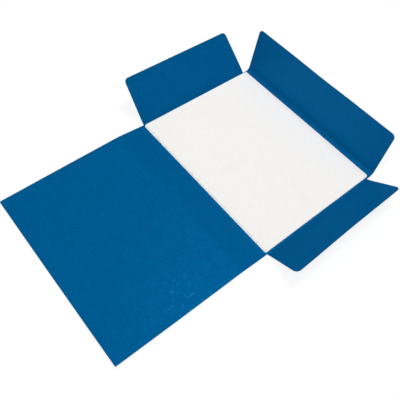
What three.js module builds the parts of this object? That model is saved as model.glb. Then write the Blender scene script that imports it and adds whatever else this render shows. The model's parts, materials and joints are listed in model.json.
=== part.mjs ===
// A three-flap folder: one die-cut sheet of creased card that lies open, with loose sheets on its back
// panel. Each panel between two creases is a solid of its own, and each crease is a hinge line.
// Millimetres, +Z up. The origin is the middle of the back panel's underside. The spine is on the -X
// side, the side flap on the +X side and the top flap on the +Y side.

import * as THREE from "three";

// Card and creases
const CARD = 0.5; // thickness of the card
const CREASE = 0.4; // width of a crease, left open between two panels
const HALF_CREASE = CREASE / 2;

// Back panel, as wide and as high as the closed folder
const PANEL_WIDTH = 242;
const PANEL_HEIGHT = 312;

// Spine and front cover
const SPINE_WIDTH = 20;
const SPINE_ANGLE = 5; // degrees above the table
const COVER_WIDTH = 242;
const BOW_PLACE = 27; // from the cover's crease to the middle of its bow
const BOW_RADIUS = 100;

// Gussets: the folder's capacity, in steps, so that the folded flaps lie on each other
const GUSSET_WIDTH = 8;
const SIDE_GUSSET_WIDTH = 9.5;
const SIDE_GUSSET_ANGLE = 0; // it lies on the table, while the other two stand in line with their flaps

// Flaps: depth, how much each end slopes in towards the outer edge, and angle above the table
const FLAP_INSET = 4; // top and bottom flaps stop short of the panel's corners
const FLAP_CORNER_RADIUS = 8;
const TOP_FLAP_DEPTH = 74;
const TOP_FLAP_TAPER = 4;
const TOP_FLAP_ANGLE = 42.5;
const BOTTOM_FLAP_DEPTH = 53;
const BOTTOM_FLAP_TAPER = -2; // widens outwards a little
const BOTTOM_FLAP_ANGLE = 29.5;
const SIDE_FLAP_DEPTH = 92.5;
const SIDE_FLAP_TAPER = 3;
const SIDE_FLAP_ANGLE = 86.4;

// Loose sheets, fanned a little: each lies further towards the side flap than the one below it
const SHEET_AIR = 0.1; // under a sheet that lies loose
const STACK_THICKNESS = 3.2;
const STACK_FAN = 1.6; // from the lowest sheet of the stack to its uppermost
const TOP_SHEET_THICKNESS = 0.1;
const TOP_SHEET_SLIP = 0.3; // from the stack's uppermost sheet to the single one on it
const SPINE_MARGIN = 3.2; // beside the lowest sheet
const SIDE_MARGIN = 0.7; // beside the stack's uppermost sheet
const BOTTOM_MARGIN = 2.6;
const TOP_MARGIN = 3.4;

const CURVE_STEPS = 8;

const radians = THREE.MathUtils.degToRad;

const folder = new THREE.Group();

// A card or paper finish of its own for each mesh.
function finish(color, roughness) {
  return new THREE.MeshStandardMaterial({ color, roughness, metalness: 0 });
}

function card() {
  return finish(0x01588c, 0.78);
}

function paper() {
  return finish(0xf4f3f1, 0.9);
}

// A flat sheet from its outline, with its upper face at z = 0.
function sheet(name, outline, thickness, material) {
  const geometry = new THREE.ExtrudeGeometry(outline, {
    depth: thickness,
    bevelEnabled: false,
    curveSegments: CURVE_STEPS,
  });
  geometry.translate(0, 0, -thickness);
  const mesh = new THREE.Mesh(geometry, material);
  mesh.name = name;
  return mesh;
}

// A solid with the same section all along the y axis. The section's second coordinate is the height.
function bar(name, section, length, material) {
  const geometry = new THREE.ExtrudeGeometry(section, {
    depth: length,
    bevelEnabled: false,
    curveSegments: CURVE_STEPS,
  });
  geometry.rotateX(Math.PI / 2);
  geometry.translate(0, length / 2, 0);
  const mesh = new THREE.Mesh(geometry, material);
  mesh.name = name;
  return mesh;
}

function rectangle(low, high) {
  const outline = new THREE.Shape();
  outline.moveTo(low.x, low.y);
  outline.lineTo(high.x, low.y);
  outline.lineTo(high.x, high.y);
  outline.lineTo(low.x, high.y);
  outline.closePath();
  return outline;
}

// Draws a line towards a corner and an arc round it.
function roundCorner(outline, before, corner, after, radius) {
  const back = before.clone().sub(corner).normalize();
  const ahead = after.clone().sub(corner).normalize();
  const halfAngle = Math.acos(back.dot(ahead)) / 2;
  const reach = radius / Math.tan(halfAngle);
  const middle = back.clone().add(ahead).normalize();
  const centre = corner.clone().addScaledVector(middle, radius / Math.sin(halfAngle));
  const start = corner.clone().addScaledVector(back, reach);
  const end = corner.clone().addScaledVector(ahead, reach);
  outline.lineTo(start.x, start.y);
  outline.absarc(centre.x, centre.y, radius, start.sub(centre).angle(), end.sub(centre).angle(), false);
}

// A flap's outline: its crease lies on x = 0, its ends slope by the taper, its outer corners are round.
function flapOutline(creaseLength, depth, taper) {
  const half = creaseLength / 2;
  const corners = [
    new THREE.Vector2(0, -half),
    new THREE.Vector2(depth, -half + taper),
    new THREE.Vector2(depth, half - taper),
    new THREE.Vector2(0, half),
  ];
  const outline = new THREE.Shape();
  outline.moveTo(corners[0].x, corners[0].y);
  roundCorner(outline, corners[0], corners[1], corners[2], FLAP_CORNER_RADIUS);
  roundCorner(outline, corners[1], corners[2], corners[3], FLAP_CORNER_RADIUS);
  outline.lineTo(corners[3].x, corners[3].y);
  outline.closePath();
  return outline;
}

// A crease along the y axis of its own frame: what is added to it lies on the +x side, raised by the
// fold in degrees. The fold's axis runs in the card's upper face, in the middle of the crease.
function crease(x, fold) {
  const group = new THREE.Group();
  group.position.x = x;
  group.rotation.y = -radians(fold);
  return group;
}

// A panel that starts half a crease away from its fold's axis.
function besideCrease(mesh) {
  mesh.position.x += HALF_CREASE;
  return mesh;
}

// The frame of one edge of the back panel: +x points away from the panel, the origin is in the middle
// of the edge at the height of the panel's upper face.
function edgeFrame(facing, distance) {
  const frame = new THREE.Group();
  const angle = radians(facing);
  frame.position.set(Math.cos(angle) * distance, Math.sin(angle) * distance, CARD);
  frame.rotation.z = angle;
  folder.add(frame);
  return frame;
}

function addBackPanel() {
  const low = new THREE.Vector2(-PANEL_WIDTH / 2, -PANEL_HEIGHT / 2);
  const high = new THREE.Vector2(PANEL_WIDTH / 2, PANEL_HEIGHT / 2);
  const panel = sheet("back_panel", rectangle(low, high), CARD, card());
  panel.position.z = CARD;
  folder.add(panel);
}

// A gusset and its flap on one edge of the back panel.
function addFlap(name, facing, distance, creaseLength, gusset, flap) {
  const gussetFold = crease(HALF_CREASE, gusset.angle);
  const strip = rectangle(
    new THREE.Vector2(0, -creaseLength / 2),
    new THREE.Vector2(gusset.width, creaseLength / 2),
  );
  gussetFold.add(besideCrease(sheet(name + "_gusset", strip, CARD, card())));

  const flapFold = crease(gusset.width + CREASE, flap.angle - gusset.angle);
  const outline = flapOutline(creaseLength, flap.depth, flap.taper);
  flapFold.add(besideCrease(sheet(name + "_flap", outline, CARD, card())));

  gussetFold.add(flapFold);
  edgeFrame(facing, distance).add(gussetFold);
}

// The cover's section: straight beside the spine, then bowed down to a straight run that comes to rest
// on the table at its outer edge.
function coverOutline(bow) {
  const reach = BOW_RADIUS * Math.tan(bow / 2);
  const centreX = BOW_PLACE - reach;
  const centreY = -BOW_RADIUS;
  const run = COVER_WIDTH - BOW_PLACE;
  const along = new THREE.Vector2(Math.cos(bow), -Math.sin(bow));
  const down = new THREE.Vector2(-Math.sin(bow), -Math.cos(bow));
  const outerTop = new THREE.Vector2(BOW_PLACE, 0).addScaledVector(along, run);
  const outerUnder = outerTop.clone().addScaledVector(down, CARD);
  const upright = Math.PI / 2;

  const outline = new THREE.Shape();
  outline.moveTo(0, -CARD);
  outline.lineTo(centreX, -CARD);
  outline.absarc(centreX, centreY, BOW_RADIUS - CARD, upright, upright - bow, true);
  outline.lineTo(outerUnder.x, outerUnder.y);
  outline.lineTo(outerTop.x, outerTop.y);
  outline.absarc(centreX, centreY, BOW_RADIUS, upright - bow, upright, false);
  outline.lineTo(0, 0);
  outline.closePath();
  return outline;
}

function addSpineAndCover() {
  const spineFold = crease(HALF_CREASE, SPINE_ANGLE);
  const strip = rectangle(
    new THREE.Vector2(0, -PANEL_HEIGHT / 2),
    new THREE.Vector2(SPINE_WIDTH, PANEL_HEIGHT / 2),
  );
  spineFold.add(besideCrease(sheet("spine", strip, CARD, card())));

  // The bow turns the cover just far enough for its outer edge to come down on the table.
  const rise = radians(SPINE_ANGLE);
  const risingRun = SPINE_WIDTH + CREASE + HALF_CREASE + BOW_PLACE;
  const height = risingRun * Math.sin(rise);
  const fall = Math.asin(height / (COVER_WIDTH - BOW_PLACE));
  const cover = bar("front_cover", coverOutline(rise + fall), PANEL_HEIGHT, card());
  const coverFold = crease(SPINE_WIDTH + CREASE, 0);
  coverFold.add(besideCrease(cover));
  spineFold.add(coverFold);
  edgeFrame(180, PANEL_WIDTH / 2).add(spineFold);
}

// The section of the fanned stack.
function stackOutline(left, right, bottom, top) {
  const outline = new THREE.Shape();
  outline.moveTo(left, bottom);
  outline.lineTo(right - STACK_FAN, bottom);
  outline.lineTo(right, top);
  outline.lineTo(left + STACK_FAN, top);
  outline.closePath();
  return outline;
}

function addSheets() {
  const left = -PANEL_WIDTH / 2 + SPINE_MARGIN;
  const right = PANEL_WIDTH / 2 - SIDE_MARGIN;
  const low = -PANEL_HEIGHT / 2 + BOTTOM_MARGIN;
  const high = PANEL_HEIGHT / 2 - TOP_MARGIN;
  const stackBottom = CARD + SHEET_AIR;
  const stackTop = stackBottom + STACK_THICKNESS;

  const section = stackOutline(left, right, stackBottom, stackTop);
  const stack = bar("paper_stack", section, high - low, paper());
  stack.position.y = (low + high) / 2;
  folder.add(stack);

  const topLeft = left + STACK_FAN + TOP_SHEET_SLIP;
  const topRight = right + TOP_SHEET_SLIP;
  const outline = rectangle(new THREE.Vector2(topLeft, low), new THREE.Vector2(topRight, high));
  const loose = sheet("top_sheet", outline, TOP_SHEET_THICKNESS, paper());
  loose.position.z = stackTop + SHEET_AIR + TOP_SHEET_THICKNESS;
  folder.add(loose);
}

addBackPanel();
addSpineAndCover();
addFlap(
  "top",
  90,
  PANEL_HEIGHT / 2,
  PANEL_WIDTH - 2 * FLAP_INSET,
  { width: GUSSET_WIDTH, angle: TOP_FLAP_ANGLE },
  { depth: TOP_FLAP_DEPTH, taper: TOP_FLAP_TAPER, angle: TOP_FLAP_ANGLE },
);
addFlap(
  "bottom",
  -90,
  PANEL_HEIGHT / 2,
  PANEL_WIDTH - 2 * FLAP_INSET,
  { width: GUSSET_WIDTH, angle: BOTTOM_FLAP_ANGLE },
  { depth: BOTTOM_FLAP_DEPTH, taper: BOTTOM_FLAP_TAPER, angle: BOTTOM_FLAP_ANGLE },
);
addFlap(
  "side",
  0,
  PANEL_WIDTH / 2,
  PANEL_HEIGHT,
  { width: SIDE_GUSSET_WIDTH, angle: SIDE_GUSSET_ANGLE },
  { depth: SIDE_FLAP_DEPTH, taper: SIDE_FLAP_TAPER, angle: SIDE_FLAP_ANGLE },
);
addSheets();

export default folder;
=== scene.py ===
"""A three-flap folder of pressed card, lying open with a stack of loose sheets on its back panel."""

import json
import math
import random

import bpy
from mathutils import Matrix, Vector


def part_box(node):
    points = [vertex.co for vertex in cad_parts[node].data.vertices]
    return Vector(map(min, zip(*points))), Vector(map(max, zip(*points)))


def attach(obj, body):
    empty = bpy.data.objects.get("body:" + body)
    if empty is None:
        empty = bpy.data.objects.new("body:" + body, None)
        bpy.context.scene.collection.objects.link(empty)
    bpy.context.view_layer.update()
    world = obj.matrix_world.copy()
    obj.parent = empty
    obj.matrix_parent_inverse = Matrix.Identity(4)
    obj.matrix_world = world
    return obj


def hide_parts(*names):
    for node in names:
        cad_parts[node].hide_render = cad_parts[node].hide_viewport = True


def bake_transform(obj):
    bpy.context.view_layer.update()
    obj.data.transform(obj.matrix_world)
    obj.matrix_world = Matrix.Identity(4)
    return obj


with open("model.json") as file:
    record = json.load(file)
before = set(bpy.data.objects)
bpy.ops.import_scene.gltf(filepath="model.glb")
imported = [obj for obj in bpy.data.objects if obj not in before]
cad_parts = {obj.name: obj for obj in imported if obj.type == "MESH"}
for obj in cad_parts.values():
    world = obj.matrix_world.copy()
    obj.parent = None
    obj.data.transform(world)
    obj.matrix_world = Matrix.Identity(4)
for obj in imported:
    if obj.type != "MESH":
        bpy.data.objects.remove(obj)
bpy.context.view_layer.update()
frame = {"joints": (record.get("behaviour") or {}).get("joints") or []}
crease_places = {joint["name"]: Vector(joint["pos_m"]) for joint in frame["joints"] if "pos_m" in joint}


# The back panel and the card of the whole folder
# The folder is one die-cut blank of solid-dyed pressed card, about 400 grams a square metre. The back
# panel is the part of the blank that lies on the table, and every other panel is joined to it by
# pressed creases.
MM = 0.001
CARD = 0.5 * MM
CUT_EDGE_ROUNDING = 0.1 * MM
CUT_EDGE_SEGMENTS = 2
CUT_EDGE_ANGLE = math.radians(50)  # only folds in the mesh sharper than this are cut edges
PANEL_WIDTH = 242 * MM
PANEL_HEIGHT = 312 * MM
GRID = 6 * MM  # spacing of the panels' mesh lines

CARD_BLUE = "#005A91"
CARD_DEEP_BLUE = "#004B79"
CARD_LIGHT_BLUE = "#0171AE"
FIBRE_BLUE = "#0A6F9E"
WOOD_FLECK = "#2A4666"
CUT_BLUE = "#1A6A9C"
SHEEN_BLUE = "#0078FF"
SCUFF_BLUE = "#2484C4"

CLOUD_SIZE = 9 * MM  # clouds of fibre that settle on the paper machine's wire
GRAIN_SIZE = 1.7 * MM  # the press felt's grain is about 0.7 mm, drawn coarser so that it shows
FIBRE_SIZE = 5 * MM
FLECK_SIZE = 3.5 * MM
SCUFF_SIZE = 7 * MM
SCUFF_REACH = 44 * MM  # how far from the rubbed place the scuffs reach
CARD_GRAIN_HEIGHT = 0.05 * MM
CARD_GRAIN_BUMP = 0.6
CARD_SMOOTH = 0.4  # roughness on top of the raised grain
CARD_ROUGH = 0.5  # and in its hollows
CARD_IOR = 1.5
CARD_GLOSS = 0.04  # unglazed card mirrors very little
DYE_GLANCE = 0.12  # so much dye lies on the surface that its gloss is as blue as the card

# The noises run from 0 to 1, and most of each lies between these two levels.
NOISE_LOW = 0.3
NOISE_HIGH = 0.7
CLOUD_SHARE = 0.3
GRAIN_START = 0.45
GRAIN_FULL = 0.75
GRAIN_SHARE = 0.45
FIBRE_HALF_WIDTH = 0.02  # a fibre runs where its noise is this near to its middle level
FIBRE_SHARE = 0.35
FLECK_START = 0.68
FLECK_FULL = 0.74
FLECK_SHARE = 0.3
SCUFF_START = 0.57
SCUFF_FULL = 0.71
SCUFF_SHARE = 0.38


def linear(hex_colour):
    """The linear colour of an sRGB hex colour."""
    channels = []
    for start in (1, 3, 5):
        value = int(hex_colour[start : start + 2], 16) / 255
        channels.append(value / 12.92 if value <= 0.04045 else ((value + 0.055) / 1.055) ** 2.4)
    return (*channels, 1)


def add(tree, kind, sockets=None, **settings):
    """Adds a node, sets its settings, and fills its sockets with links or values."""
    made = tree.nodes.new(kind)
    for setting, value in settings.items():
        setattr(made, setting, value)
    for socket, value in (sockets or {}).items():
        if isinstance(value, bpy.types.NodeSocket):
            tree.links.new(value, made.inputs[socket])
        else:
            made.inputs[socket].default_value = value
    return made


def scuffed(tree, place, colour, rubbed_place):
    """The colour with a few small pale scuffs round the place where the card is held to open it."""
    away = add(
        tree, "ShaderNodeVectorMath", {0: place, 1: rubbed_place}, operation="DISTANCE"
    ).outputs["Value"]
    nearness = add(
        tree,
        "ShaderNodeMapRange",
        {"Value": away, "From Min": SCUFF_REACH, "From Max": SCUFF_REACH / 2},
    ).outputs["Result"]
    patches = add(
        tree, "ShaderNodeTexNoise", {"Vector": place, "Scale": 1 / SCUFF_SIZE, "Detail": 1}
    ).outputs["Fac"]
    scuff = add(
        tree,
        "ShaderNodeMapRange",
        {"Value": patches, "From Min": SCUFF_START, "From Max": SCUFF_FULL, "To Max": SCUFF_SHARE},
    ).outputs["Result"]
    share = add(tree, "ShaderNodeMath", {0: nearness, 1: scuff}, operation="MULTIPLY").outputs[0]
    return add(
        tree, "ShaderNodeMix", {0: share, 6: colour, 7: linear(SCUFF_BLUE)}, data_type="RGBA"
    ).outputs[2]


def pressed_card(name, base=CARD_BLUE, rubbed_place=None):
    """Solid-dyed pressboard: matt, with soft clouds in the dye, a pressed felt grain, pale curved fibres
    and a few woody flecks that took less dye. Its faint sheen has the colour of the dye. Where it has been
    rubbed in use there are a few small pale scuffs."""
    finish = bpy.data.materials.new(name)
    finish.use_nodes = True
    tree = finish.node_tree
    tree.nodes.clear()
    place = add(tree, "ShaderNodeTexCoord").outputs["Object"]

    cloud = add(
        tree, "ShaderNodeTexNoise", {"Vector": place, "Scale": 1 / CLOUD_SIZE, "Detail": 4, "Roughness": 0.6}
    ).outputs["Fac"]
    grain = add(
        tree, "ShaderNodeTexNoise", {"Vector": place, "Scale": 1 / GRAIN_SIZE, "Detail": 3, "Roughness": 0.65}
    ).outputs["Fac"]
    curl = add(
        tree,
        "ShaderNodeTexNoise",
        {"Vector": place, "Scale": 1 / FIBRE_SIZE, "Detail": 2, "Distortion": 1.2},
    ).outputs["Fac"]
    from_middle = add(tree, "ShaderNodeMath", {0: curl, 1: 0.5}, operation="SUBTRACT").outputs[0]
    fibre_line = add(tree, "ShaderNodeMath", {0: from_middle}, operation="ABSOLUTE").outputs[0]
    fibre = add(
        tree,
        "ShaderNodeMapRange",
        {"Value": fibre_line, "From Max": FIBRE_HALF_WIDTH, "To Min": FIBRE_SHARE, "To Max": 0.0},
    ).outputs["Result"]
    fleck_noise = add(
        tree, "ShaderNodeTexNoise", {"Vector": place, "Scale": 1 / FLECK_SIZE, "Detail": 1}
    ).outputs["Fac"]
    fleck = add(
        tree,
        "ShaderNodeMapRange",
        {"Value": fleck_noise, "From Min": FLECK_START, "From Max": FLECK_FULL, "To Max": FLECK_SHARE},
    ).outputs["Result"]

    cloud_share = add(
        tree,
        "ShaderNodeMapRange",
        {
            "Value": cloud,
            "From Min": NOISE_LOW,
            "From Max": NOISE_HIGH,
            "To Min": CLOUD_SHARE,
            "To Max": 0.0,
        },
    ).outputs["Result"]
    grain_share = add(
        tree,
        "ShaderNodeMapRange",
        {"Value": grain, "From Min": GRAIN_START, "From Max": GRAIN_FULL, "To Max": GRAIN_SHARE},
    ).outputs["Result"]
    clouded = add(
        tree,
        "ShaderNodeMix",
        {0: cloud_share, 6: linear(base), 7: linear(CARD_DEEP_BLUE)},
        data_type="RGBA",
    ).outputs[2]
    grained = add(
        tree,
        "ShaderNodeMix",
        {0: grain_share, 6: clouded, 7: linear(CARD_LIGHT_BLUE)},
        data_type="RGBA",
    ).outputs[2]
    fibred = add(
        tree, "ShaderNodeMix", {0: fibre, 6: grained, 7: linear(FIBRE_BLUE)}, data_type="RGBA"
    ).outputs[2]
    flecked = add(
        tree, "ShaderNodeMix", {0: fleck, 6: fibred, 7: linear(WOOD_FLECK)}, data_type="RGBA"
    ).outputs[2]
    if rubbed_place is not None:
        flecked = scuffed(tree, place, flecked, rubbed_place)

    roughness = add(
        tree,
        "ShaderNodeMapRange",
        {
            "Value": grain,
            "From Min": NOISE_LOW,
            "From Max": NOISE_HIGH,
            "To Min": CARD_ROUGH,
            "To Max": CARD_SMOOTH,
        },
    ).outputs["Result"]
    height = add(tree, "ShaderNodeMath", {0: grain, 1: fibre}, operation="ADD").outputs[0]
    bump = add(
        tree,
        "ShaderNodeBump",
        {"Height": height, "Distance": CARD_GRAIN_HEIGHT, "Strength": CARD_GRAIN_BUMP},
    ).outputs["Normal"]
    shader = add(
        tree,
        "ShaderNodeBsdfPrincipled",
        {
            "Base Color": flecked,
            "Roughness": roughness,
            "Normal": bump,
            "Metallic": DYE_GLANCE,
            "IOR": CARD_IOR,
            "Specular IOR Level": CARD_GLOSS,
            "Specular Tint": linear(SHEEN_BLUE),
        },
    )
    add(tree, "ShaderNodeOutputMaterial", {"Surface": shader.outputs[0]})
    return finish


card_finish = pressed_card("pressed_blue_card")
cut_finish = pressed_card("cut_card_edge", base=CUT_BLUE)


def crease_frame(place, outward, rise):
    """A frame on a crease's axis: x leads away along the panel, y along the crease, and z out of the
    panel's upper face."""
    up = Vector((0, 0, 1))
    along = outward * math.cos(rise) + up * math.sin(rise)
    normal = up * math.cos(rise) - outward * math.sin(rise)
    axes = Matrix((along, normal.cross(along), normal)).transposed()
    return Matrix.Translation(place) @ axes.to_4x4()


def flat(distance):
    """The section of a flat panel: how far along and how high a line at this distance lies."""
    return distance, 0.0


def still(distance, side):
    """The lift of a panel that lies quite flat."""
    return 0.0


def spaced(low, high, spacing=GRID):
    """Even steps from low to high, both ends with them."""
    steps = max(1, round((high - low) / spacing))
    return [low + (high - low) * step / steps for step in range(steps + 1)]


def card_panel(node, body, frame_here, rows, section=flat, lift=still, finish=card_finish):
    """A panel of the blank that stands for a node. Each row is a distance from the crease and half the
    panel's length there."""
    columns = [share * 2 - 1 for share in spaced(0, 1, GRID / (2 * rows[0][1]))]
    points = []
    for distance, half in rows:
        along, height = section(distance)
        for column in columns:
            side = column * half
            points.append(frame_here @ Vector((along, side, height + lift(distance, side))))
    width = len(columns)
    faces = []
    for row in range(len(rows) - 1):
        for column in range(width - 1):
            corner = row * width + column
            faces.append((corner, corner + width, corner + width + 1, corner + 1))
    mesh = bpy.data.meshes.new(node + "_card")
    mesh.from_pydata(points, [], faces)
    mesh.shade_smooth()
    mesh.materials.append(finish)
    mesh.materials.append(cut_finish)
    panel = bpy.data.objects.new(node + "_card", mesh)
    bpy.context.scene.collection.objects.link(panel)
    thickness = panel.modifiers.new("card_thickness", "SOLIDIFY")
    thickness.thickness = CARD
    thickness.offset = -1
    thickness.material_offset_rim = 1
    rounding = panel.modifiers.new("cut_edge_rounding", "BEVEL")
    rounding.width = CUT_EDGE_ROUNDING
    rounding.segments = CUT_EDGE_SEGMENTS
    rounding.limit_method = "ANGLE"
    rounding.angle_limit = CUT_EDGE_ANGLE
    rounding.harden_normals = True
    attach(panel, body)
    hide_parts(node)


panel_middle = crease_frame(Vector((0, 0, CARD)), Vector((1, 0, 0)), 0)
panel_rows = [(x, PANEL_HEIGHT / 2) for x in spaced(-PANEL_WIDTH / 2, PANEL_WIDTH / 2)]
card_panel("back_panel", "back", panel_middle, panel_rows)


# The spine, the front cover and their creases
# The spine is a narrow strip between two pressed creases. The cover swings on the outer one, and bows
# down softly beside the spine until its outer edge lies on the table.
CREASE = 0.4 * MM
HALF_CREASE = CREASE / 2
SPINE_WIDTH = 20 * MM
SPINE_RISE = math.radians(5)
COVER_WIDTH = 242 * MM
BOW_PLACE = 27 * MM
BOW_RADIUS = 100 * MM
BOW_GRID = 2 * MM
COVER_CORNER_LIFT = 5.5 * MM
COVER_TAPER = 1 * MM  # the cover is this much shorter at each end of its free edge
COVER_SWELL = 1 * MM
COVER_SWELL_TURN = 7  # how far the swell's wave turns over the cover's height, in radians
COVER_SWELL_START = 1  # and where it starts
COVER_RUB_PLACE = Vector((-250, -138, 5)) * MM  # near the middle of its lower edge
END_SHORTFALL = 0.1 * MM

# A pressed crease: a very low bead stands on the inner face, and a groove runs along the outer one.
BEAD_REACH = 0.8 * MM
BEAD_HEIGHT = 0.05 * MM
GROOVE_DEPTH = 0.14 * MM
BURIED = 0.06 * MM  # how far the bead's long sides end inside the card
FLANK_FOOT = (0.7, 0.3)  # shares of the bead's reach and height that its flank goes through
FLANK_SHOULDER = (0.4, 0.85)


def bead_section():
    """The crease's outline, as distances across it and heights above the card's inner face."""
    upper = [
        (-BEAD_REACH, -BURIED),
        (-FLANK_FOOT[0] * BEAD_REACH, FLANK_FOOT[1] * BEAD_HEIGHT),
        (-FLANK_SHOULDER[0] * BEAD_REACH, FLANK_SHOULDER[1] * BEAD_HEIGHT),
        (-HALF_CREASE, BEAD_HEIGHT),
        (0, BEAD_HEIGHT),
    ]
    lower = [(0, GROOVE_DEPTH - CARD), (-HALF_CREASE, GROOVE_DEPTH - CARD), (-BEAD_REACH, -CARD / 2)]
    right_upper = [(-x, z) for x, z in reversed(upper[:-1])]
    right_lower = [(-x, z) for x, z in reversed(lower[1:])]
    return upper + right_upper + right_lower + lower


def pressed_crease(
    name, outward, inner_rise, outer_rise, half_length, bend_radius=0.0
):
    """The strip of card along a crease, which bends between the two panels that it joins. Where they meet
    in a soft bend, it lies in the middle of the bend."""
    place = crease_places[name]
    inner = crease_frame(place, outward, inner_rise)
    middle = crease_frame(place, outward, (inner_rise + outer_rise) / 2)
    outer = crease_frame(place, outward, outer_rise)
    if bend_radius:
        inwards = bend_radius / math.cos((outer_rise - inner_rise) / 2) - bend_radius
        middle = middle @ Matrix.Translation((0, 0, inwards))
        inner = middle
        outer = middle
    section = bead_section()
    lines = spaced(-half_length + END_SHORTFALL, half_length - END_SHORTFALL)
    points = []
    for side in lines:
        for across, height in section:
            here = middle if across == 0 else (inner if across < 0 else outer)
            points.append(here @ Vector((across, side, height)))
    around = len(section)
    faces = [tuple(range(around)), tuple(reversed(range(len(points) - around, len(points))))]
    for line in range(len(lines) - 1):
        for corner in range(around):
            after = (corner + 1) % around
            first = line * around
            faces.append((first + corner, first + around + corner, first + around + after, first + after))
    mesh = bpy.data.meshes.new(name + "_bead")
    mesh.from_pydata(points, [], faces)
    mesh.shade_smooth()
    mesh.materials.append(card_finish)
    bead = bpy.data.objects.new(name + "_bead", mesh)
    bpy.context.scene.collection.objects.link(bead)
    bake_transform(bead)


def cover_section(distance):
    """The cover's section in the frame of its crease: straight, then bowed, then straight again."""
    run = distance - HALF_CREASE
    if run <= bow_start:
        return distance, 0.0
    if run <= bow_end:
        turn = (run - bow_start) / BOW_RADIUS
    else:
        turn = bow
    along = HALF_CREASE + bow_start + BOW_RADIUS * math.sin(turn)
    height = -BOW_RADIUS * (1 - math.cos(turn))
    straight = max(0.0, run - bow_end)
    return along + straight * math.cos(bow), height - straight * math.sin(bow)


def cover_lift(distance, side):
    """The cover's free corner stands a little off the table, and broad swells run across the sheet."""
    out = max(0.0, distance - BOW_PLACE) / (COVER_WIDTH - BOW_PLACE)
    towards_bottom = max(0.0, 0.5 + side / PANEL_HEIGHT)
    corner = COVER_CORNER_LIFT * out**2 * towards_bottom**2
    wave = math.sin(COVER_SWELL_TURN * side / PANEL_HEIGHT + COVER_SWELL_START)
    swell = COVER_SWELL * math.sin(math.pi * out) ** 2 * (0.5 + 0.5 * wave)
    return corner + swell


leftwards = Vector((-1, 0, 0))
spine_frame = crease_frame(crease_places["spine_crease"], leftwards, SPINE_RISE)
spine_rows = [(x, PANEL_HEIGHT / 2) for x in spaced(HALF_CREASE, HALF_CREASE + SPINE_WIDTH)]
card_panel("spine", "spine_strip", spine_frame, spine_rows)

rising_run = SPINE_WIDTH + CREASE + HALF_CREASE + BOW_PLACE
bow = SPINE_RISE + math.asin(rising_run * math.sin(SPINE_RISE) / (COVER_WIDTH - BOW_PLACE))
bow_reach = BOW_RADIUS * math.tan(bow / 2)
bow_start = BOW_PLACE - bow_reach
bow_end = bow_start + BOW_RADIUS * bow
cover_end = bow_end + COVER_WIDTH - BOW_PLACE - bow_reach
cover_runs = (
    spaced(0, bow_start)
    + spaced(bow_start, bow_end, BOW_GRID)[1:]
    + spaced(bow_end, cover_end)[1:]
)
cover_frame = crease_frame(crease_places["cover_crease"], leftwards, SPINE_RISE)
cover_rows = [
    (HALF_CREASE + run, PANEL_HEIGHT / 2 - COVER_TAPER * run / cover_end) for run in cover_runs
]
cover_finish = pressed_card("pressed_blue_card_rubbed", rubbed_place=COVER_RUB_PLACE)
card_panel("front_cover", "cover", cover_frame, cover_rows, cover_section, cover_lift, cover_finish)

pressed_crease("spine_crease", leftwards, 0, SPINE_RISE, PANEL_HEIGHT / 2)
pressed_crease("cover_crease", leftwards, SPINE_RISE, SPINE_RISE, PANEL_HEIGHT / 2)


# The three flaps, each on its gusset
# A gusset is a narrow strip along the back panel's edge that gives the folder its depth. The flap
# hangs on its outer crease. The outer corners are die-cut round, and the ends slope a little.
FLAP_INSET = 4 * MM
FLAP_CORNER_RADIUS = 8 * MM
CORNER_STEPS = 7
BEND_GRID = 0.8 * MM
FLAP_HALF = PANEL_WIDTH / 2 - FLAP_INSET
GUSSET_WIDTH = 8 * MM
TOP_DEPTH = 74 * MM
BOTTOM_DEPTH = 53 * MM
SIDE_DEPTH = 92.5 * MM
TOP_RISE = math.radians(42.5)
BOTTOM_RISE = math.radians(29.5)
SIDE_RISE = math.radians(86.4)
BOTTOM_TWIST = 3.6 * MM  # its end beside the side flap stands higher than its other end


def flap_rows(half, depth, taper, foot_runs):
    """Rows of a flap from its foot at the crease to its rounded outer corners."""
    slope = taper / depth
    stretch = math.hypot(1, slope)
    centre = depth - FLAP_CORNER_RADIUS
    centre_side = half - slope * centre - FLAP_CORNER_RADIUS * stretch
    tangent = math.atan(slope)
    arc_start = centre + FLAP_CORNER_RADIUS * math.sin(tangent)
    straight_runs = spaced(foot_runs[-1], arc_start)[1:]
    rows = [(HALF_CREASE + run, half - slope * run) for run in foot_runs + straight_runs]
    for step in range(1, CORNER_STEPS + 1):
        turn = tangent + (math.pi / 2 - tangent) * step / CORNER_STEPS
        run = centre + FLAP_CORNER_RADIUS * math.sin(turn)
        rows.append((HALF_CREASE + run, centre_side + FLAP_CORNER_RADIUS * math.cos(turn)))
    return rows


def curled(depth, curl, reach, twist=0.0):
    """A lift that draws the free edge of a flap inwards, most in the middle and not beyond the reach. A
    twist draws one end of the free edge inwards as well."""

    def lift(distance, side):
        out = distance / depth
        turned = twist * out * (1 + side / reach) / 2
        if abs(side) >= reach:
            return turned
        return turned + curl * out**2 * math.cos(math.pi / 2 * side / reach) ** 2

    return lift


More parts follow.
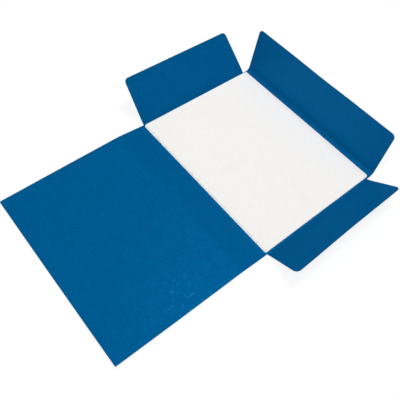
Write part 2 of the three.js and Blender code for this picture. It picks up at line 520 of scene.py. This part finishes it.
def flap_with_gusset(
    name, outward, half, gusset_width, gusset_rise, depth, taper, rise, lift, bend_reach=0.0
):
    """A gusset, its flap and the two creases that hold them. Where the two meet at an angle, the card goes
    round in a soft bend that starts this far before the crease and ends as far beyond it."""
    gusset_runs = spaced(0, gusset_width)
    foot_runs = [0.0]
    bend_radius = 0.0
    bend_start = gusset_width + CREASE - bend_reach
    if bend_reach:
        bend_radius = bend_reach / math.tan((rise - gusset_rise) / 2)
        half_bend = bend_radius * (rise - gusset_rise) / 2
        bend_runs = spaced(bend_start, bend_start + half_bend - HALF_CREASE, BEND_GRID)
        gusset_runs = spaced(0, bend_start) + bend_runs[1:]
        foot_runs = spaced(bend_reach - half_bend, bend_reach - HALF_CREASE, BEND_GRID)

    def gusset_section(distance):
        turn = max(0.0, distance - HALF_CREASE - bend_start) / bend_radius if bend_radius else 0.0
        if turn == 0.0:
            return distance, 0.0
        return HALF_CREASE + bend_start + bend_radius * math.sin(turn), bend_radius * (1 - math.cos(turn))

    def flap_section(distance):
        turn = max(0.0, bend_reach - distance) / bend_radius if bend_radius else 0.0
        if turn == 0.0:
            return distance, 0.0
        return bend_reach - bend_radius * math.sin(turn), bend_radius * (1 - math.cos(turn))

    gusset_frame = crease_frame(crease_places[name + "_gusset_crease"], outward, gusset_rise)
    strip = [(HALF_CREASE + run, half) for run in gusset_runs]
    card_panel(name + "_gusset", name + "_strip", gusset_frame, strip, gusset_section)
    flap_frame = crease_frame(crease_places[name + "_flap_crease"], outward, rise)
    card_panel(name + "_flap", name, flap_frame, flap_rows(half, depth, taper, foot_runs), flap_section, lift)
    pressed_crease(name + "_gusset_crease", outward, 0, gusset_rise, half)
    pressed_crease(
        name + "_flap_crease", outward, gusset_rise, rise, half, bend_radius
    )


flap_with_gusset(
    "top",
    outward=Vector((0, 1, 0)),
    half=FLAP_HALF,
    gusset_width=GUSSET_WIDTH,
    gusset_rise=TOP_RISE,
    depth=TOP_DEPTH,
    taper=4 * MM,
    rise=TOP_RISE,
    lift=curled(TOP_DEPTH, curl=1.5 * MM, reach=FLAP_HALF),
)
flap_with_gusset(
    "bottom",
    outward=Vector((0, -1, 0)),
    half=FLAP_HALF,
    gusset_width=GUSSET_WIDTH,
    gusset_rise=BOTTOM_RISE,
    depth=BOTTOM_DEPTH,
    taper=-2 * MM,
    rise=BOTTOM_RISE,
    lift=curled(BOTTOM_DEPTH, curl=1.2 * MM, reach=FLAP_HALF, twist=BOTTOM_TWIST),
)
flap_with_gusset(
    "side",
    outward=Vector((1, 0, 0)),
    half=PANEL_HEIGHT / 2,
    gusset_width=9.5 * MM,
    gusset_rise=0,
    depth=SIDE_DEPTH,
    taper=3 * MM,
    rise=SIDE_RISE,
    lift=curled(SIDE_DEPTH, curl=0.8 * MM, reach=70 * MM),
    bend_reach=8 * MM,
)


# The loose sheets
# About thirty sheets of uncoated white office paper lie on the back panel, not quite squared up, and
# one more lies on top. Nothing holds them, so each can be lifted out.
SHEET = 0.1 * MM
SHEET_COUNT = 31
SHEET_SLIP = 0.04 * MM
SHEET_TURN = math.radians(0.01)
SHEET_CORNER = 4 * MM  # their corners look a little blunt
CRISP_CORNER_SHARE = 0.15  # but the one between the spine and the top flap is still crisp
SHEET_SHORTFALL = 0.5 * MM  # they end a little short of their solids towards the top flap
SHEET_GRID = 12 * MM
SHEET_COLUMNS = 26
STACK_FAN = 1.6 * MM  # each sheet lies a little further towards the side flap than the one below it
STACK_SWELL = 0.05 * MM
TOP_SWELL = 0.3 * MM
SWELL_TURN_ACROSS = 14  # how far the swells' waves turn over the panel's width and height, in radians
SWELL_TURN_ALONG = 9
SHEET_EDGE_ANGLE = math.radians(40)
SHUFFLE_SEED = 5
TOP_EDGE_LIFT = 0.3 * MM
EDGE_CURL_REACH = 30 * MM
PAPER_WHITE = "#F5F3F0"
PAPER_SHADE = "#F0EDE9"
PAPER_CLOUD_SIZE = 6 * MM
PAPER_GRAIN_SIZE = 1.5 * MM  # real fibres are finer, drawn coarse enough to show
PAPER_GRAIN_HEIGHT = 0.02 * MM
PAPER_GRAIN_BUMP = 0.5
PAPER_CLOUD_SHARE = 0.6
PAPER_SMOOTH = 0.84
PAPER_ROUGH = 0.94
PAPER_IOR = 1.5
PAPER_GLOSS = 0.2  # uncoated paper is quite matt


def office_paper(name):
    """Uncoated woodfree paper: bright, quite matt, with a barely visible cloudy look-through."""
    finish = bpy.data.materials.new(name)
    finish.use_nodes = True
    tree = finish.node_tree
    tree.nodes.clear()
    place = add(tree, "ShaderNodeTexCoord").outputs["Object"]
    cloud = add(
        tree, "ShaderNodeTexNoise", {"Vector": place, "Scale": 1 / PAPER_CLOUD_SIZE, "Detail": 4}
    ).outputs["Fac"]
    grain = add(
        tree, "ShaderNodeTexNoise", {"Vector": place, "Scale": 1 / PAPER_GRAIN_SIZE, "Detail": 3}
    ).outputs["Fac"]
    shade = add(
        tree,
        "ShaderNodeMapRange",
        {"Value": cloud, "From Min": NOISE_LOW, "From Max": NOISE_HIGH, "To Max": PAPER_CLOUD_SHARE},
    ).outputs["Result"]
    colour = add(
        tree,
        "ShaderNodeMix",
        {0: shade, 6: linear(PAPER_WHITE), 7: linear(PAPER_SHADE)},
        data_type="RGBA",
    ).outputs[2]
    roughness = add(
        tree,
        "ShaderNodeMapRange",
        {
            "Value": grain,
            "From Min": NOISE_LOW,
            "From Max": NOISE_HIGH,
            "To Min": PAPER_SMOOTH,
            "To Max": PAPER_ROUGH,
        },
    ).outputs["Result"]
    bump = add(
        tree,
        "ShaderNodeBump",
        {"Height": grain, "Distance": PAPER_GRAIN_HEIGHT, "Strength": PAPER_GRAIN_BUMP},
    ).outputs["Normal"]
    shader = add(
        tree,
        "ShaderNodeBsdfPrincipled",
        {
            "Base Color": colour,
            "Roughness": roughness,
            "Normal": bump,
            "IOR": PAPER_IOR,
            "Specular IOR Level": PAPER_GLOSS,
        },
    )
    add(tree, "ShaderNodeOutputMaterial", {"Surface": shader.outputs[0]})
    return finish


paper_finish = office_paper("uncoated_office_paper")


def sheet_rows(low, high):
    """Rows across a sheet from its spine edge: how far along, and how much shorter at the bottom and top."""
    corner = []
    for step in range(CORNER_STEPS + 1):
        turn = math.pi / 2 * step / CORNER_STEPS
        corner.append((SHEET_CORNER * (1 - math.cos(turn)), SHEET_CORNER * (1 - math.sin(turn))))
    width = high.x - low.x
    spine_edge = [(run, short, short * CRISP_CORNER_SHARE) for run, short in corner]
    middle = [(run, 0.0, 0.0) for run in spaced(SHEET_CORNER, width - SHEET_CORNER, SHEET_GRID)[1:-1]]
    side_edge = [(width - run, short, short) for run, short in reversed(corner)]
    return spine_edge + middle + side_edge


def sheet_points(low, high, height, turn, swell, edge_lift=0.0):
    """A sheet's upper face as a grid of points. The edge lift raises its spine edge."""
    middle = (low + high) / 2
    points = []
    for run, bottom_short, top_short in sheet_rows(low, high):
        edge = edge_lift * max(0.0, 1 - run / EDGE_CURL_REACH) ** 2
        first = low.y + bottom_short
        last = high.y - top_short
        for y in spaced(first, last, (last - first) / SHEET_COLUMNS):
            x = low.x + run
            turned = middle + Matrix.Rotation(turn, 2) @ (Vector((x, y)) - middle)
            across = math.sin(SWELL_TURN_ACROSS * x / PANEL_WIDTH)
            wave = swell * (1 + across * math.cos(SWELL_TURN_ALONG * y / PANEL_HEIGHT)) / 2
            points.append((turned.x, turned.y, height + wave + edge))
    return points


def sheets(name, node, body, layers):
    """One or more sheets in one piece. Each layer is one sheet's grid of points, and all are alike."""
    columns = SHEET_COLUMNS + 1
    rows = len(layers[0]) // columns
    points = []
    faces = []
    for layer in layers:
        first = len(points)
        points += layer
        for row in range(rows - 1):
            for column in range(SHEET_COLUMNS):
                corner = first + row * columns + column
                faces.append((corner, corner + columns, corner + columns + 1, corner + 1))
    mesh = bpy.data.meshes.new(name)
    mesh.from_pydata(points, [], faces)
    mesh.shade_smooth()
    mesh.materials.append(paper_finish)
    piece = bpy.data.objects.new(name, mesh)
    bpy.context.scene.collection.objects.link(piece)
    thickness = piece.modifiers.new("sheet_thickness", "SOLIDIFY")
    thickness.thickness = SHEET
    thickness.offset = -1
    crisp = piece.modifiers.new("crisp_cut_edges", "EDGE_SPLIT")
    crisp.split_angle = SHEET_EDGE_ANGLE
    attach(piece, body)
    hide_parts(node)


shuffle = random.Random(SHUFFLE_SEED)
stack_low, stack_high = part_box("paper_stack")
stack_high.y -= SHEET_SHORTFALL
pitch = (stack_high.z - stack_low.z - STACK_SWELL) / SHEET_COUNT
stack_layers = []
for number in range(SHEET_COUNT):
    share = number / (SHEET_COUNT - 1)
    slip = Vector((shuffle.uniform(-SHEET_SLIP, SHEET_SLIP), shuffle.uniform(-SHEET_SLIP, SHEET_SLIP)))
    slip.x += STACK_FAN * share
    turn = shuffle.uniform(-SHEET_TURN, SHEET_TURN)
    sheet_low = stack_low.xy + slip
    sheet_high = stack_high.xy + slip - Vector((STACK_FAN, 0))
    height = stack_low.z + pitch * (number + 1)
    stack_layers.append(sheet_points(sheet_low, sheet_high, height, turn, STACK_SWELL * share))
sheets("paper_stack_sheets", "paper_stack", "sheets", stack_layers)

top_low, top_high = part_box("top_sheet")
top_high.y -= SHEET_SHORTFALL
top_points = sheet_points(top_low.xy, top_high.xy, top_high.z, 0, TOP_SWELL, edge_lift=TOP_EDGE_LIFT)
sheets("top_paper_sheet", "top_sheet", "loose_sheet", [top_points])


# The table, the light and the camera
# A plain white table that keeps the folder's soft shadow, and an even white room. A large soft lamp
# stands far off in front, and a small one hangs above the folder. The camera stands where the
# photograph was taken from.
TABLE_SIZE = 12
TABLE_DROP = 0.05 * MM
TABLE_WHITE = "#EDEDED"
SHADOW_SHARE = 0.25
ROOM_LIGHT = 0.13
LAMP_WHITE = "#FFFFFF"
LAMP_AIM = Vector((-0.08, 0, 0))

table_mesh = bpy.data.meshes.new("table")
half_table = TABLE_SIZE / 2
table_corners = [
    (x_side * half_table, y_side * half_table, -TABLE_DROP)
    for x_side, y_side in ((-1, -1), (1, -1), (1, 1), (-1, 1))
]
table_mesh.from_pydata(table_corners, [], [(0, 1, 2, 3)])
table = bpy.data.objects.new("table", table_mesh)
bpy.context.scene.collection.objects.link(table)

table_finish = bpy.data.materials.new("white_table")
table_finish.use_nodes = True
table_tree = table_finish.node_tree
table_tree.nodes.clear()
rays = add(table_tree, "ShaderNodeLightPath").outputs
seen = add(
    table_tree, "ShaderNodeMath", {0: rays["Is Camera Ray"], 1: rays["Is Glossy Ray"]}, operation="MAXIMUM"
).outputs[0]
seen = add(
    table_tree, "ShaderNodeMath", {0: seen, 1: rays["Is Transmission Ray"]}, operation="MAXIMUM"
).outputs[0]
plain = add(table_tree, "ShaderNodeBsdfDiffuse", {"Color": linear(TABLE_WHITE)}).outputs[0]
shadowed = add(table_tree, "ShaderNodeBsdfDiffuse", {"Color": (1, 1, 1, 1)}).outputs[0]
white = add(table_tree, "ShaderNodeEmission", {"Color": (1, 1, 1, 1), "Strength": 1.0}).outputs[0]
shown = add(table_tree, "ShaderNodeMixShader", {0: SHADOW_SHARE, 1: white, 2: shadowed}).outputs[0]
table_shader = add(table_tree, "ShaderNodeMixShader", {0: seen, 1: plain, 2: shown}).outputs[0]
add(table_tree, "ShaderNodeOutputMaterial", {"Surface": table_shader})
table_mesh.materials.append(table_finish)

room = bpy.data.worlds.new("white_room")
bpy.context.scene.world = room
room.use_nodes = True
room_tree = room.node_tree
room_tree.nodes.clear()
room_rays = add(room_tree, "ShaderNodeLightPath").outputs
room_level = add(
    room_tree,
    "ShaderNodeMix",
    {0: room_rays["Is Camera Ray"], 2: ROOM_LIGHT, 3: 1.0},
).outputs[0]
background = add(room_tree, "ShaderNodeBackground", {"Color": (1, 1, 1, 1), "Strength": room_level})
add(room_tree, "ShaderNodeOutputWorld", {"Surface": background.outputs[0]})


def soft_lamp(name, place, size, power):
    """A square softbox that faces the folder. Its size is in metres and its power in watts."""
    light = bpy.data.lights.new(name, "AREA")
    light.shape = "SQUARE"
    light.size = size
    light.energy = power
    light.color = linear(LAMP_WHITE)[:3]
    lamp = bpy.data.objects.new(name, light)
    lamp.location = place
    lamp.rotation_euler = (LAMP_AIM - place).to_track_quat("-Z", "Y").to_euler()
    bpy.context.scene.collection.objects.link(lamp)


soft_lamp("front_softbox", Vector((-6.4, -2.2, 10.4)), size=5.4, power=1220)
soft_lamp("back_softbox", Vector((0.43, 0.225, 1.95)), size=0.54, power=10.6)

CAMERA_PLACE = Vector((-0.43565, -0.30801, 0.6219))
CAMERA_AIM = Vector((-0.13642, -0.02201, 0))
CAMERA_ROLL = math.radians(8.38)
CAMERA_LENS = 42.728
CAMERA_SENSOR = 36

camera_data = bpy.data.cameras.new("photo_camera")
camera_data.lens = CAMERA_LENS
camera_data.sensor_width = CAMERA_SENSOR
camera = bpy.data.objects.new("photo_camera", camera_data)
camera.location = CAMERA_PLACE
look = (CAMERA_AIM - CAMERA_PLACE).to_track_quat("-Z", "Y").to_matrix()
camera.rotation_euler = (look @ Matrix.Rotation(CAMERA_ROLL, 3, "Z")).to_euler()
bpy.context.scene.collection.objects.link(camera)
bpy.context.scene.camera = camera
bpy.context.scene.view_settings.view_transform = "Standard"
